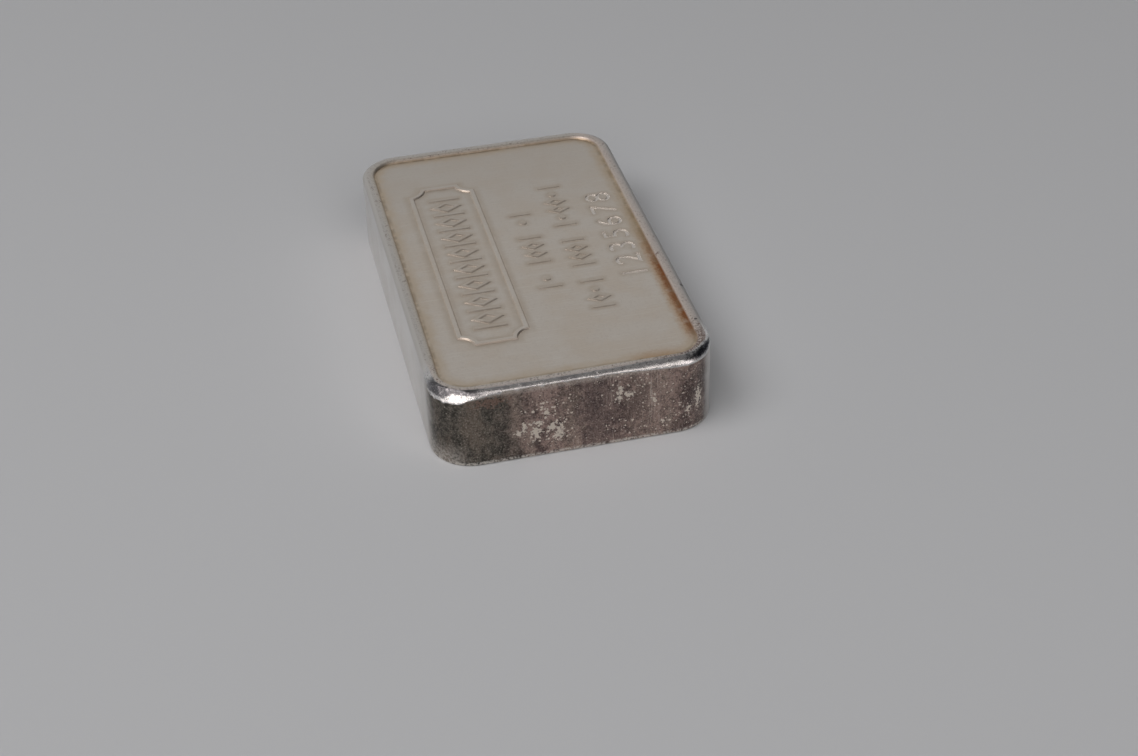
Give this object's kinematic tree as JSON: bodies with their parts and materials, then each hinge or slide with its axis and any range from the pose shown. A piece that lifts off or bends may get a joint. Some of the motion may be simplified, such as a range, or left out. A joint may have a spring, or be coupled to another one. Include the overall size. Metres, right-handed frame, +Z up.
{
  "type": "silver bar",
  "caption": "Struck silver bar with rounded corners, a raised rim round a sunken satin panel and a plain raised frame on it, tarnished at its ends; it lies flat.",
  "frame": {"origin": "middle of the base, on the surface that the bar lies on", "axes": "+X along the bar's length, the way its marks read; +Y across its width, towards the side with the frame; +Z up out of the marked face"},
  "size_m": [0.0654, 0.039, 0.0121],
  "materials": {
    "silver": "satin"
  },
  "bodies": {
    "root": {"silver_bar": "silver"}
  },
  "joints": []
}
